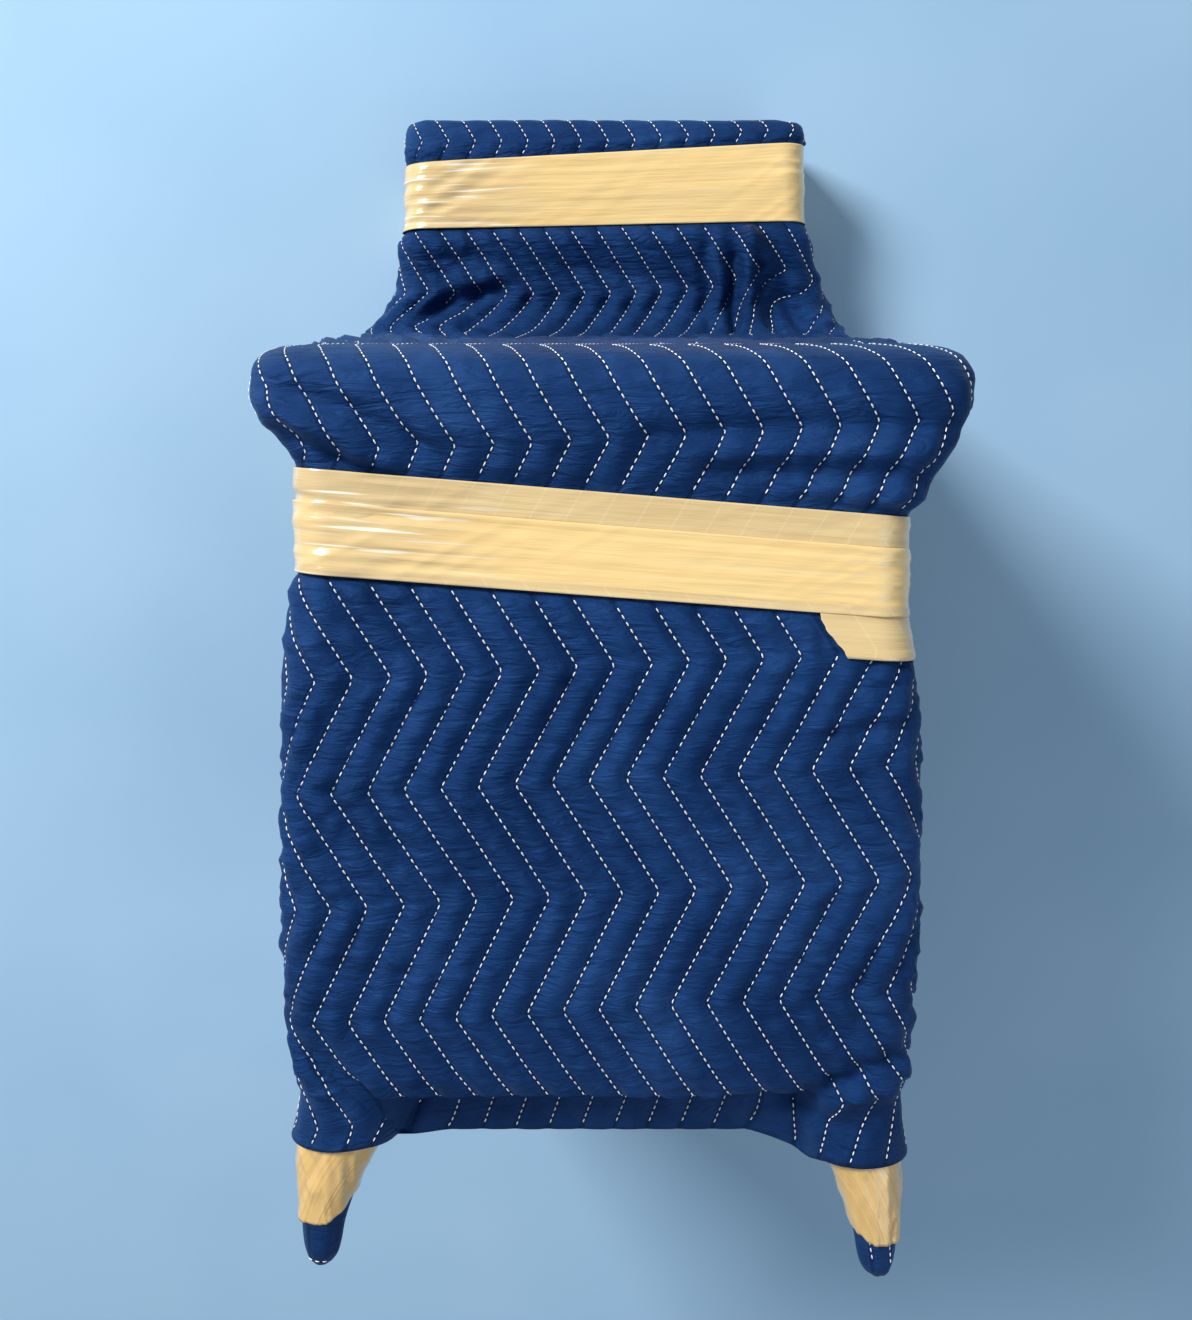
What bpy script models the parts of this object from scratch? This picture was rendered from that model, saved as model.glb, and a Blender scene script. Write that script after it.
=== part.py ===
"""A quilted moving blanket wrapped round a bar stool, held by packing tape and lying on its back.

Metres, +X to the right, +Y from the feet towards the backrest, +Z up.  The stool is left out, so
the blanket is a hollow cover: one sheet that goes over the low backrest, down the seat, round the
front edge of the seat and on to the legs.  It is open at the feet, between four leg sleeves.

Heights in the tables are measured from the floor that the back lies on.  The origin is higher up:
under the front panel, where the cover bears on the front edge of the stool's seat.
"""
import math
from collections import namedtuple

import bpy
import bmesh
import numpy as np

# ---------------------------------------------------------------- driving dimensions
QUILT = 0.007               # thickness of the quilted sheet
SLEEVE_QUILT = 0.005        # the same sheet, wound tight round a leg
TAPE = 0.001                # thickness that stands for the tape and its adhesive
GAP = 0.0003                # air between the pieces
BEARING_HEIGHT = 0.542      # underside of the front panel at the seat's front edge
BEARING_Y = 0.0             # its place along the cover
END_CAP_Y = 0.361           # outermost point of the backrest end

# points round half a ring: front, front corner, side, back corner, back
FRONT_STEPS = 8
CORNER_STEPS = 3
SIDE_STEPS = 4
BACK_CORNER_STEPS = 2
BACK_STEPS = 4
LEG_POINTS = 12

# ---------------------------------------------------------------- sections of the blanket
# y at the middle, tilt of the section (dy/dx), left and right edges, height of the front,
# height of the back, radius of the front corners, radius of the back corners, name of its line
Section = namedtuple("Section", "y tilt left right front back corner heel line")
SECTIONS = [
    Section(0.3600, 0.000, -0.182, 0.199, 0.098, 0.022, 0.022, 0.020, "backrest end"),
    Section(0.3535, 0.000, -0.193, 0.211, 0.112, 0.009, 0.024, 0.016, "backrest end"),
    Section(0.3420, 0.020, -0.199, 0.217, 0.119, 0.002, 0.026, 0.014, "backrest"),
    Section(0.3270, 0.051, -0.199, 0.216, 0.118, 0.002, 0.026, 0.014, "back tape top"),
    Section(0.2910, 0.036, -0.200, 0.218, 0.116, 0.002, 0.026, 0.014, "back tape"),
    Section(0.2567, 0.021, -0.203, 0.221, 0.113, 0.002, 0.026, 0.014, "back tape foot"),
    Section(0.2440, 0.015, -0.208, 0.226, 0.116, 0.000, 0.030, 0.014, "backrest"),
    Section(0.2120, 0.000, -0.214, 0.235, 0.106, 0.000, 0.034, 0.014, "backrest"),
    Section(0.1780, 0.000, -0.223, 0.245, 0.100, 0.000, 0.038, 0.014, "web"),
    Section(0.1500, 0.000, -0.238, 0.254, 0.114, 0.000, 0.044, 0.014, "web"),
    Section(0.1340, 0.000, -0.246, 0.258, 0.185, 0.000, 0.060, 0.014, "seat"),
    Section(0.1180, 0.000, -0.250, 0.262, 0.310, 0.000, 0.070, 0.014, "seat"),
    Section(0.1050, 0.000, -0.248, 0.265, 0.430, 0.000, 0.060, 0.014, "seat"),
    Section(0.0960, 0.000, -0.247, 0.268, 0.510, 0.000, 0.044, 0.014, "seat"),
    Section(0.0830, 0.000, -0.249, 0.271, 0.548, 0.000, 0.032, 0.014, "seat roll"),
    Section(0.0600, 0.000, -0.251, 0.272, 0.561, 0.000, 0.028, 0.014, "seat roll"),
    Section(0.0330, -0.020, -0.242, 0.265, 0.560, 0.000, 0.028, 0.014, "seat roll"),
    Section(0.0070, -0.060, -0.227, 0.245, 0.553, 0.002, 0.028, 0.014, "seat roll"),
    Section(-0.0115, -0.081, -0.221, 0.231, 0.547, 0.004, 0.028, 0.014, "waist tape top"),
    Section(-0.0350, -0.080, -0.221, 0.231, 0.546, 0.004, 0.028, 0.014, "second strip top"),
    Section(-0.0790, -0.076, -0.221, 0.231, 0.546, 0.004, 0.028, 0.014, "first strip foot"),
    Section(-0.0870, -0.075, -0.222, 0.232, 0.547, 0.003, 0.028, 0.014, "waist tape foot"),
    Section(-0.1190, -0.070, -0.229, 0.237, 0.553, 0.002, 0.028, 0.014, "free end foot"),
    Section(-0.1600, -0.030, -0.234, 0.241, 0.556, 0.000, 0.028, 0.014, "legs"),
    Section(-0.2300, 0.000, -0.237, 0.245, 0.557, 0.000, 0.028, 0.014, "legs"),
    Section(-0.3100, 0.000, -0.241, 0.248, 0.557, 0.000, 0.028, 0.014, "legs"),
    Section(-0.3900, 0.000, -0.242, 0.249, 0.557, 0.000, 0.028, 0.014, "legs"),
    Section(-0.4450, 0.000, -0.240, 0.246, 0.556, 0.000, 0.028, 0.014, "legs"),
    Section(-0.4740, 0.000, -0.238, 0.245, 0.549, 0.000, 0.030, 0.014, "hem fold"),
    Section(-0.4900, 0.000, -0.236, 0.243, 0.534, 0.000, 0.030, 0.014, "hem fold"),
    Section(-0.5150, 0.000, -0.235, 0.242, 0.520, 0.000, 0.028, 0.014, "mouth"),
]

# ---------------------------------------------------------------- main folds of the front
# from (x0, y0) to (x1, y1), half width, and height: above 0 a ridge, below 0 a trough
Fold = namedtuple("Fold", "x0 y0 x1 y1 half_width height what")
FOLDS = [
    Fold(0.190, 0.250, 0.146, 0.160, 0.024, 0.012, "loose fold beside the backrest"),
    Fold(0.226, 0.235, 0.190, 0.180, 0.016, -0.006, "pocket beside the loose fold"),
    Fold(-0.215, 0.160, -0.080, 0.182, 0.014, -0.006, "tuck at the left of the backrest"),
    Fold(-0.245, 0.062, -0.090, 0.012, 0.018, -0.005, "crease from the left ear"),
    Fold(0.075, 0.032, 0.250, 0.026, 0.013, -0.006, "crease along the right of the roll"),
    Fold(-0.205, -0.450, -0.150, -0.500, 0.016, -0.006, "pleat at the left leg"),
    Fold(0.182, -0.465, 0.230, -0.442, 0.016, -0.006, "pleat at the right leg"),
]
SIDE_SAG = 0.004            # how far the side walls hang in at mid height

# ---------------------------------------------------------------- leg sleeves
# y, edge next to the side wall, edge next to the middle, lowest and highest point of the section;
# the x edges are for the left leg, and the right leg adds RIGHT_LEG_SHIFT to their mirror image
Leg = namedtuple("Leg", "y outer inner low high line")
FRONT_LEG = [
    Leg(-0.468, -0.229, -0.183, 0.490, 0.537, "inside the cover"),
    Leg(-0.500, -0.239, -0.172, 0.478, 0.541, "gathered skirt"),
    Leg(-0.519, -0.241, -0.176, 0.480, 0.541, "tape top"),
    Leg(-0.558, -0.240, -0.192, 0.494, 0.541, "tape"),
    Leg(-0.598, -0.239, -0.204, 0.505, 0.540, "tape foot"),
    Leg(-0.614, -0.238, -0.206, 0.506, 0.540, "foot"),
    Leg(-0.630, -0.234, -0.211, 0.509, 0.536, "foot"),
]
REAR_LEG_DROP = 0.480       # the rear legs are this much lower
RIGHT_LEG_SHIFT = np.array([0.006, 0.000, 0.0])
RIGHT_LEG_LONGER = 0.010    # the right sleeve ends this much further out

SECTION_OF = {section.line: index for index, section in enumerate(SECTIONS)}
NAVY = (0.010, 0.028, 0.085, 1.0)
TAN = (0.800, 0.590, 0.330, 1.0)


def start_clean():
    """Empty the scene, and make one collection for the parts and one for the cutters."""
    for item in list(bpy.data.objects):
        bpy.data.objects.remove(item, do_unlink=True)
    made = []
    for name in ("moving_blanket", "cutters"):
        collection = bpy.data.collections.new(name)
        bpy.context.scene.collection.children.link(collection)
        made.append(collection)
    return made


def plain_material(name, colour, roughness):
    """A Principled material of one colour."""
    material = bpy.data.materials.new(name)
    material.use_nodes = True
    shader = material.node_tree.nodes["Principled BSDF"]
    shader.inputs["Base Color"].default_value = colour
    shader.inputs["Roughness"].default_value = roughness
    shader.inputs["Metallic"].default_value = 0.0
    return material


def arc(centre_x, centre_z, radius, start, end, steps):
    """Points of a circular arc, without its last point; angles in degrees from +X towards +Z."""
    angle = np.radians(np.linspace(start, end, steps, endpoint=False))
    return np.stack([centre_x + radius * np.cos(angle), centre_z + radius * np.sin(angle)], axis=1)


def line(start, end, steps):
    """Points of a straight run, without its last point."""
    part = np.linspace(0.0, 1.0, steps, endpoint=False)[:, None]
    return np.array(start) * (1.0 - part) + np.array(end) * part


def outline(section):
    """The closed x, z outline of a section: a rounded rectangle, clockwise from the front's middle."""
    middle = 0.5 * (section.left + section.right)
    front, back = section.front, section.back
    corner, heel = section.corner, section.heel
    runs = []
    # the right half goes down the right wall to the middle of the back
    edge = section.right
    runs.append(line((middle, front), (edge - corner, front), FRONT_STEPS))
    runs.append(arc(edge - corner, front - corner, corner, 90, 0, CORNER_STEPS))
    runs.append(line((edge, front - corner), (edge, back + heel), SIDE_STEPS))
    runs.append(arc(edge - heel, back + heel, heel, 0, -90, BACK_CORNER_STEPS))
    runs.append(line((edge - heel, back), (middle, back), BACK_STEPS))
    # the left half comes back up the left wall
    edge = section.left
    runs.append(line((middle, back), (edge + heel, back), BACK_STEPS))
    runs.append(arc(edge + heel, back + heel, heel, -90, -180, BACK_CORNER_STEPS))
    runs.append(line((edge, back + heel), (edge, front - corner), SIDE_STEPS))
    runs.append(arc(edge + corner, front - corner, corner, 180, 90, CORNER_STEPS))
    runs.append(line((edge + corner, front), (middle, front), FRONT_STEPS))
    return np.concatenate(runs)


def fold_height(x, y):
    """Sum of the folds at (x, y): each is a bell across its line, fading past the line's ends."""
    total = np.zeros_like(x)
    for fold in FOLDS:
        along = np.array([fold.x1 - fold.x0, fold.y1 - fold.y0])
        length = math.hypot(*along)
        along /= length
        reach = (x - fold.x0) * along[0] + (y - fold.y0) * along[1]
        aside = (y - fold.y0) * along[0] - (x - fold.x0) * along[1]
        past = np.maximum(0.0, np.maximum(-reach, reach - length))
        total += fold.height * np.exp(-(aside ** 2 + past ** 2) / fold.half_width ** 2)
    return total


def blanket_rows():
    """The outer surface as an array: a row for each section, a column for each point round it."""
    rows = []
    for section in SECTIONS:
        x, z = outline(section).T
        y = section.y + section.tilt * x
        # folds lift the front only, and the share falls to nothing round the front corner
        facing = np.clip((z - (section.front - section.corner)) / section.corner, 0.0, 1.0)
        if section.front > 2 * section.corner:
            rise = np.clip((z - section.back) / (section.front - section.back), 0.0, 1.0)
            middle = 0.5 * (section.left + section.right)
            sag = SIDE_SAG * np.sin(np.pi * rise) * (section.front - section.back) / 0.55
            x = x - np.sign(x - middle) * np.where(facing > 0, 0.0, sag)
        z = z + facing * fold_height(x, y)
        rows.append(np.stack([x, y, z], axis=1))
    return np.array(rows)


def leg_rows(side, drop):
    """The outer surface of one leg sleeve: side -1 is left and 1 is right, drop lowers it."""
    rows = []
    angle = -np.linspace(0.0, 2.0 * np.pi, LEG_POINTS, endpoint=False)
    for leg in FRONT_LEG:
        across = 0.5 * abs(leg.inner - leg.outer)
        deep = 0.5 * (leg.high - leg.low)
        x = 0.5 * (leg.inner + leg.outer) + across * np.cos(angle)
        z = 0.5 * (leg.low + leg.high) - drop + deep * np.sin(angle)
        y = np.full(LEG_POINTS, leg.y)
        if side > 0:
            reach = (FRONT_LEG[0].y - leg.y) / (FRONT_LEG[0].y - FRONT_LEG[-1].y)
            x = -x[::-1]
            z = z[::-1]
            y = y - RIGHT_LEG_LONGER * reach
        row = np.stack([x, y, z], axis=1)
        rows.append(row + RIGHT_LEG_SHIFT * (side > 0))
    return np.array(rows)


def outward(rows):
    """Unit normals of a grid of points whose columns go round a closed section."""
    round_it = np.roll(rows, -1, axis=1) - np.roll(rows, 1, axis=1)
    along = np.gradient(rows, axis=0)
    normal = np.cross(along, round_it)
    return normal / np.linalg.norm(normal, axis=2, keepdims=True)


def drop_to_bearing(points):
    """Move points from heights above the floor to the frame whose origin is the bearing."""
    return points - np.array([0.0, BEARING_Y, BEARING_HEIGHT])


def grid_object(name, rows, wanted, collection, material=None, close_start=None, close_end=None):
    """A mesh of the wanted quads between neighbouring rows; close_... are the caps' middles."""
    mesh = bpy.data.meshes.new(name)
    shape = bmesh.new()
    count = rows.shape[1]
    placed = drop_to_bearing(rows)
    points = [[shape.verts.new(point) for point in row] for row in placed]
    for i in range(len(points) - 1):
        for j in range(count):
            k = (j + 1) % count
            if wanted(i, j):
                shape.faces.new((points[i][j], points[i + 1][j], points[i + 1][k], points[i][k]))
    for middle, row, turn in ((close_start, points[0], -1), (close_end, points[-1], 1)):
        if middle is None:
            continue
        tip = shape.verts.new(drop_to_bearing(np.array(middle)))
        for j in range(count):
            ring = (row[(j + 1) % count], row[j], tip)
            shape.faces.new(ring[::turn])
    loose = [point for point in shape.verts if not point.link_faces]
    bmesh.ops.delete(shape, geom=loose, context="VERTS")
    shape.to_mesh(mesh)
    shape.free()
    item = bpy.data.objects.new(name, mesh)
    if material is not None:
        mesh.materials.append(material)
    collection.objects.link(item)
    return item


def thicken(item, thickness, side):
    """Give an open surface its thickness, inwards for side -1 and outwards for side 1."""
    solid = item.modifiers.new("thickness", "SOLIDIFY")
    solid.thickness = thickness
    solid.offset = side
    solid.use_even_offset = False
    solid.use_rim = True


def everywhere(_row, _column):
    """Choose every quad of a grid."""
    return True


def join_meshes(name, items, collection):
    """One object with the meshes of several closed pieces that don't touch."""
    mesh = bpy.data.meshes.new(name)
    shape = bmesh.new()
    for item in items:
        shape.from_mesh(item.data)
        bpy.data.objects.remove(item, do_unlink=True)
    shape.to_mesh(mesh)
    shape.free()
    joined = bpy.data.objects.new(name, mesh)
    collection.objects.link(joined)
    joined.hide_render = True
    joined.display_type = "WIRE"
    return joined


def legs():
    """Name, side and drop of each leg."""
    for name, side, drop in (
        ("front_left", -1, 0.0),
        ("front_right", 1, 0.0),
        ("rear_left", -1, REAR_LEG_DROP),
        ("rear_right", 1, REAR_LEG_DROP),
    ):
        yield name, side, drop


def make_sleeves(cutters):
    """The outsides of the leg sleeves as one object, and the hollows in them as another."""
    outsides, hollows = [], []
    for name, side, drop in legs():
        rows = leg_rows(side, drop)
        ends = rows.mean(axis=1)
        outsides.append(
            grid_object("outside_" + name, rows, everywhere, cutters,
                        close_start=ends[0], close_end=ends[-1])
        )
        inner = rows - outward(rows) * SLEEVE_QUILT
        inner[:, :, 1] = rows[:, :, 1]
        # the hollow starts inside the cover and runs out through the foot
        inner[0, :, 1] += QUILT
        inner[-1, :, 1] -= QUILT
        ends = inner.mean(axis=1)
        hollows.append(
            grid_object("hollow_" + name, inner, everywhere, cutters,
                        close_start=ends[0], close_end=ends[-1])
        )
    return (
        join_meshes("sleeve_outsides", outsides, cutters),
        join_meshes("sleeve_hollows", hollows, cutters),
    )


def cut_with(item, cutter, operation):
    """Add an exact Boolean."""
    boolean = item.modifiers.new(operation.lower(), "BOOLEAN")
    boolean.operation = operation
    boolean.object = cutter
    boolean.solver = "EXACT"


def make_blanket(rows, parts, cutters, material):
    """The blanket: one hollow sheet, open at the feet, with its four sleeves joined on."""
    middle = rows[0].mean(axis=0)
    middle[1] = END_CAP_Y
    blanket = grid_object("blanket", rows, everywhere, parts, material, close_start=middle)
    thicken(blanket, QUILT, -1)
    outsides, hollows = make_sleeves(cutters)
    cut_with(blanket, outsides, "UNION")
    cut_with(blanket, hollows, "DIFFERENCE")
    return blanket


def make_strip(name, rows, first, last, lift, wanted, parts, material):
    """A strip of tape over the rows from first to last, held lift above the cloth."""
    raised = rows + outward(rows) * lift
    strip = grid_object(name, raised[first:last + 1], wanted, parts, material)
    thicken(strip, TAPE, 1)
    return strip


def make_tapes(rows, parts, material):
    """The band on the backrest, the two strips round the waist, and a band on each leg."""
    make_strip("tape_back", rows, SECTION_OF["back tape top"], SECTION_OF["back tape foot"],
               GAP, everywhere, parts, material)
    top = SECTION_OF["waist tape top"]
    second = SECTION_OF["second strip top"]
    first_foot = SECTION_OF["first strip foot"]
    foot = SECTION_OF["waist tape foot"]
    free_foot = SECTION_OF["free end foot"]
    make_strip("tape_waist_first", rows, top, first_foot, GAP, everywhere, parts, material)

    def second_strip(row, column):
        """The whole girth above its foot, and below it only the free end at the right."""
        right_front = FRONT_STEPS - 2
        right_back = FRONT_STEPS + CORNER_STEPS + SIDE_STEPS // 2
        return row < foot - second or right_front <= column < right_back

    make_strip("tape_waist_second", rows, second, free_foot, TAPE + 2 * GAP, second_strip,
               parts, material)
    lines = [leg.line for leg in FRONT_LEG]
    for name, side, drop in legs():
        make_strip("tape_leg_" + name, leg_rows(side, drop), lines.index("tape top"),
                   lines.index("tape foot"), GAP, everywhere, parts, material)


def main():
    """Build every piece."""
    parts, cutters = start_clean()
    navy = plain_material("navy_quilt", NAVY, 0.85)
    tan = plain_material("tan_tape", TAN, 0.25)
    rows = blanket_rows()
    make_blanket(rows, parts, cutters, navy)
    make_tapes(rows, parts, tan)


main()
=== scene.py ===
# %% [markdown]
# # A moving blanket wrapped round a bar stool
# A quilted moving blanket is two sheets of navy cloth with a thin wadding between them, sewn
# together by rows of white zigzag stitches.  Here one blanket is pulled over a stool that lies on
# its back, and tan packing tape draws it in at the backrest, under the seat and round the legs.
# The stool stays out of the model, so the blanket is a hollow cover.
#
# The lesson builds every surface as a function of two parameters: one runs round the cover and one
# runs from the backrest to the feet.  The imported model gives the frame, the box and the floor.

# %% Load the frame
import math
from collections import namedtuple

import bpy
import numpy as np
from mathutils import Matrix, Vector


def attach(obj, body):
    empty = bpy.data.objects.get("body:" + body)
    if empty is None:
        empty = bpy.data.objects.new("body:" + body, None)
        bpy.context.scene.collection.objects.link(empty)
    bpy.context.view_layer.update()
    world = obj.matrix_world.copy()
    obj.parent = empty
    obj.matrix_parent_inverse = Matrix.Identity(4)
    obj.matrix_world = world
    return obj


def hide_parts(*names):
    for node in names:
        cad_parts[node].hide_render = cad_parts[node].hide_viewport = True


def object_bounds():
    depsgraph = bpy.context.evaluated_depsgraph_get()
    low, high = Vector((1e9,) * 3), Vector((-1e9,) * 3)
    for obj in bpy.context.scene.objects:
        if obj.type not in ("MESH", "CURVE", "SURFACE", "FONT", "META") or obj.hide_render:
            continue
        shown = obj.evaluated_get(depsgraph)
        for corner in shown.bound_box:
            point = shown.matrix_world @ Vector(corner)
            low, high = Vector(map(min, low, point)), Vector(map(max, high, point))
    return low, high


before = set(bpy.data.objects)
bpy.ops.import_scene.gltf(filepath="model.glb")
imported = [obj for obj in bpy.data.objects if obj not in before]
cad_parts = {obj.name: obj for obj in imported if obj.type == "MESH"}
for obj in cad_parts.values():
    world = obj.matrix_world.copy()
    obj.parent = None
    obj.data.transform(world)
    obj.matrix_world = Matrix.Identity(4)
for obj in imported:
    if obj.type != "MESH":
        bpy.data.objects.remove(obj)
cad_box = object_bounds()
FLOOR = float(cad_box[0][2])
print("CAD box:", [[round(float(c), 4) for c in corner] for corner in cad_box])

# %% [markdown]
# ## Sections
# The cover is described by sections across it, as a boat is by its frames.  Each row gives the
# place along the cover, how far the section tilts where a slanting tape draws it in, its left and
# right edges, the height of its front and back above the floor, its corner radii, and the row of
# zigzag turnings that it falls on.  Rows were chosen over a free sculpt because the tape bands,
# the stitch rows and the folds can then all be placed by the same two numbers.

# %% The sections of the cover
Section = namedtuple("Section", "y tilt left right front back turn line corner heel",
                     defaults=(0.028, 0.014))
SECTIONS = [Section(*row) for row in [
    (0.365, 0.0, -0.189, 0.206, 0.102, 0.018, -8.32, "end", 0.02, 0.018),
    (0.36, 0.0, -0.197, 0.215, 0.113, 0.008, -8.24, "end", 0.022, 0.016),
    (0.345, 0.016, -0.2, 0.218, 0.119, 0.002, -8.08, "top", 0.024),
    (0.327, 0.051, -0.199, 0.216, 0.118, 0.002, -7.86, "back tape top", 0.026),
    (0.291, 0.036, -0.2, 0.218, 0.116, 0.002, -7.36, "back tape", 0.026),
    (0.2567, 0.021, -0.203, 0.221, 0.113, 0.002, -6.9, "back tape foot", 0.026),
    (0.244, 0.015, -0.208, 0.226, 0.116, 0.0, -6.73, "backrest", 0.03),
    (0.212, 0.0, -0.214, 0.241, 0.106, 0.0, -6.3, "backrest", 0.032),
    (0.178, 0.0, -0.227, 0.256, 0.1, 0.0, -5.83, "web", 0.034),
    (0.15, 0.0, -0.249, 0.266, 0.114, 0.0, -5.38, "web", 0.036),
    (0.134, 0.0, -0.255, 0.27, 0.185, 0.0, -4.87, "seat", 0.046),
    (0.118, 0.0, -0.254, 0.271, 0.31, 0.0, -3.38, "seat", 0.052),
    (0.105, 0.0, -0.248, 0.265, 0.43, 0.0, -1.9, "seat", 0.06),
    (0.096, 0.0, -0.247, 0.268, 0.51, 0.0, -0.93, "seat", 0.044),
    (0.083, 0.0, -0.249, 0.271, 0.548, 0.0, -0.64, "seat roll", 0.032),
    (0.06, 0.0, -0.251, 0.272, 0.561, 0.0, -0.41, "seat roll"),
    (0.033, -0.02, -0.242, 0.265, 0.56, 0.0, -0.1, "seat roll"),
    (0.007, -0.06, -0.227, 0.245, 0.553, 0.002, 0.21, "seat roll"),
    (-0.0115, -0.081, -0.221, 0.231, 0.547, 0.004, 0.44, "waist tape top"),
    (-0.035, -0.08, -0.221, 0.231, 0.546, 0.004, 0.74, "second top"),
    (-0.079, -0.076, -0.221, 0.231, 0.546, 0.004, 1.29, "first foot"),
    (-0.087, -0.075, -0.222, 0.232, 0.547, 0.003, 1.39, "waist foot"),
    (-0.119, -0.07, -0.229, 0.237, 0.553, 0.002, 1.78, "free end foot"),
    (-0.16, -0.03, -0.234, 0.241, 0.556, 0.0, 2.27, "legs"),
    (-0.23, 0.0, -0.237, 0.245, 0.557, 0.0, 3.09, "legs"),
    (-0.31, 0.0, -0.241, 0.248, 0.557, 0.0, 4.0, "legs"),
    (-0.39, 0.0, -0.242, 0.249, 0.557, 0.0, 4.88, "legs"),
    (-0.445, 0.0, -0.24, 0.246, 0.556, 0.0, 5.49, "legs"),
    (-0.474, 0.0, -0.238, 0.245, 0.551, 0.0, 5.82, "hem fold", 0.03),
    (-0.49, 0.0, -0.237, 0.244, 0.547, 0.0, 6.01, "hem fold", 0.03),
    (-0.515, 0.0, -0.237, 0.244, 0.543, 0.0, 6.3, "mouth"),
]]
END_CAP_Y = 0.366
FIELDS = [field for field in Section._fields if field != "line"]
TABLE = np.array([[getattr(section, field) for field in FIELDS] for section in SECTIONS])
print(len(SECTIONS), "sections")

# %% [markdown]
# ## From sections to a smooth cover
# Straight lines between the sections would show as facets, and a plain cubic would overshoot at
# the sharp turn of the seat.  A monotone cubic keeps each column of the table inside its own
# values.  The parameter along the cover is the length of its front profile.

# %% Monotone interpolation
def monotone(knots, values, where):
    """Cubic Hermite curve whose slope at a knot is the harmonic mean of its neighbours' slopes,
    or nothing where those slopes disagree in sign."""
    step = np.diff(knots)[:, None]
    rise = np.diff(values, axis=0) / step
    slope = np.zeros_like(values)
    agree = rise[1:] * rise[:-1] > 0
    total = np.where(agree, rise[1:] + rise[:-1], 1.0)
    slope[1:-1] = np.where(agree, 2 * rise[1:] * rise[:-1] / total, 0.0)
    slope[0], slope[-1] = rise[0], rise[-1]
    at = np.clip(np.searchsorted(knots, where, side="right") - 1, 0, len(knots) - 2)
    width = (knots[at + 1] - knots[at])[:, None]
    t = (where - knots[at])[:, None] / width
    low, high = values[at], values[at + 1]
    return (
        low * (1 + 2 * t) * (1 - t) ** 2 + slope[at] * width * t * (1 - t) ** 2
        + high * t * t * (3 - 2 * t) + slope[at + 1] * width * t * t * (t - 1)
    )


def front_length(table):
    """Distance along the front profile, measured from the backrest end."""
    y, front = table[:, FIELDS.index("y")], table[:, FIELDS.index("front")]
    return np.concatenate([[0.0], np.cumsum(np.hypot(np.diff(y), np.diff(front)))])


LENGTH_AT = front_length(TABLE)
ROW_OF = {section.line: LENGTH_AT[i] for i, section in enumerate(SECTIONS)}
print("front profile:", round(float(LENGTH_AT[-1]), 3), "m")

# %% Rows along the cover
ROW_STEP = 0.0045           # between rows where the cloth is seen
WALL_STEP = 0.0110          # down the seat, which faces the backrest
HEM_STEP = 0.0026           # where the front turns under
fine_length = np.linspace(0.0, LENGTH_AT[-1], 4000)
fine_front = np.interp(fine_length, LENGTH_AT, TABLE[:, FIELDS.index("front")])
fine_y = np.interp(fine_length, LENGTH_AT, TABLE[:, FIELDS.index("y")])
on_wall = (fine_y > 0.094) & (fine_y < 0.140) & (fine_front > 0.14)
at_hem = fine_y < -0.470
step_here = np.where(on_wall, WALL_STEP, np.where(at_hem, HEM_STEP, ROW_STEP))
density = np.cumsum(1 / step_here) * fine_length[1]
ROWS = int(density[-1])
row_length = np.interp(np.linspace(density[0], density[-1], ROWS), density, fine_length)
ROW = dict(zip(FIELDS, monotone(LENGTH_AT, TABLE, row_length).T))
print(ROWS, "rows")

# %% Columns round the cover
HALF = {"front": 62, "corner": 9, "side": 62, "heel": 4, "back": 18}
SIDE_SAG = 0.004


def half_outline(edge, direction):
    """One half of each section, from the middle of the front round to the middle of the back.

    Straight, quarter circle, straight, quarter circle, straight; direction is 1 for the right."""
    col = {name: value[:, None] for name, value in ROW.items()}
    middle = 0.5 * (col["left"] + col["right"])
    edge = edge[:, None]
    inner = edge - direction * col["corner"]
    inner_heel = edge - direction * col["heel"]
    share = {name: np.arange(count)[None, :] / count for name, count in HALF.items()}
    turn = {name: 0.5 * np.pi * share[name] for name in ("corner", "heel")}
    tall = (col["front"] - col["corner"]) - (col["back"] + col["heel"])
    sag = SIDE_SAG * np.sin(np.pi * share["side"]) * tall / 0.5
    x = [
        middle + (inner - middle) * share["front"],
        inner + direction * col["corner"] * np.sin(turn["corner"]),
        edge - direction * sag,
        inner_heel + direction * col["heel"] * np.cos(turn["heel"]),
        inner_heel + (middle - inner_heel) * share["back"],
    ]
    z = [
        col["front"] + 0 * share["front"],
        col["front"] - col["corner"] * (1 - np.cos(turn["corner"])),
        col["front"] - col["corner"] - tall * share["side"],
        col["back"] + col["heel"] * (1 - np.sin(turn["heel"])),
        col["back"] + 0 * share["back"],
    ]
    return np.concatenate(x, axis=1), np.concatenate(z, axis=1)


def close_halves(right, left, middle_back):
    """Columns of both halves in one turn: right half, middle of the back, left half backwards."""
    return np.concatenate([right, middle_back, left[:, :0:-1]], axis=1)


def plain_cover():
    """Points of the smooth cover: x and z from the outline, y tilted by the section's slope."""
    right_x, right_z = half_outline(ROW["right"], 1)
    left_x, left_z = half_outline(ROW["left"], -1)
    middle = 0.5 * (ROW["left"] + ROW["right"])[:, None]
    x = close_halves(right_x, left_x, middle)
    z = close_halves(right_z, left_z, ROW["back"][:, None])
    y = ROW["y"][:, None] + ROW["tilt"][:, None] * x
    return np.stack([x, y, z + FLOOR], axis=2)


def unit(vectors):
    """The same directions with length 1."""
    return vectors / np.maximum(np.linalg.norm(vectors, axis=-1, keepdims=True), 1e-9)


def limited(value):
    """The value, held between 0 and 1."""
    return np.clip(value, 0.0, 1.0)


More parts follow.
